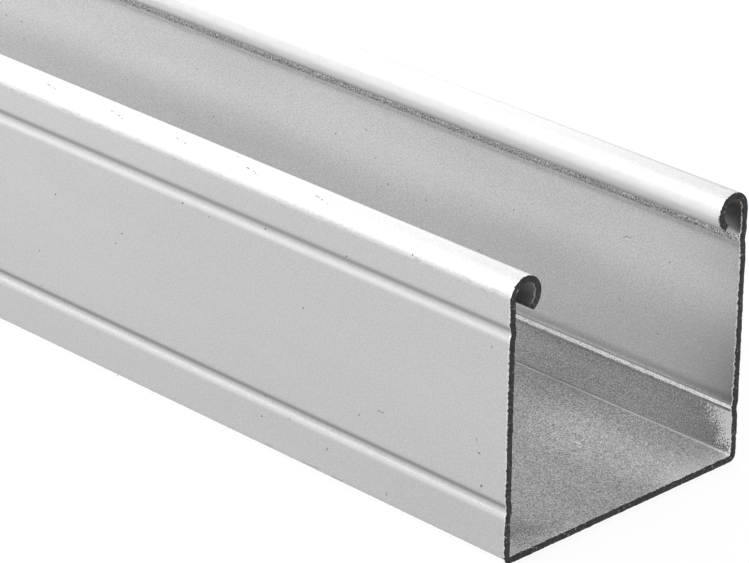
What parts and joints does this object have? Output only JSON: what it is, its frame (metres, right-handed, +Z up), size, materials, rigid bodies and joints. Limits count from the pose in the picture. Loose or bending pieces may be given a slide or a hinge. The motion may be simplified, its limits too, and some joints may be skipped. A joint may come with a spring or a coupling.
{
  "type": "aluminium louver track",
  "caption": "Long roll-formed aluminium channel with a flat base, grooved side walls and inward-curled bead edges along its open top, used as a track for louvers or blinds.",
  "frame": {"origin": "middle of the underside of the flat base, halfway along the track", "axes": "+X along the track's length, +Y across it from one side wall to the other, +Z up from the base to the open top"},
  "size_m": [1, 0.057, 0.051],
  "materials": {
    "mill_aluminium": "satin mill finish"
  },
  "bodies": {
    "root": {"louver_track": "mill_aluminium"}
  },
  "joints": []
}
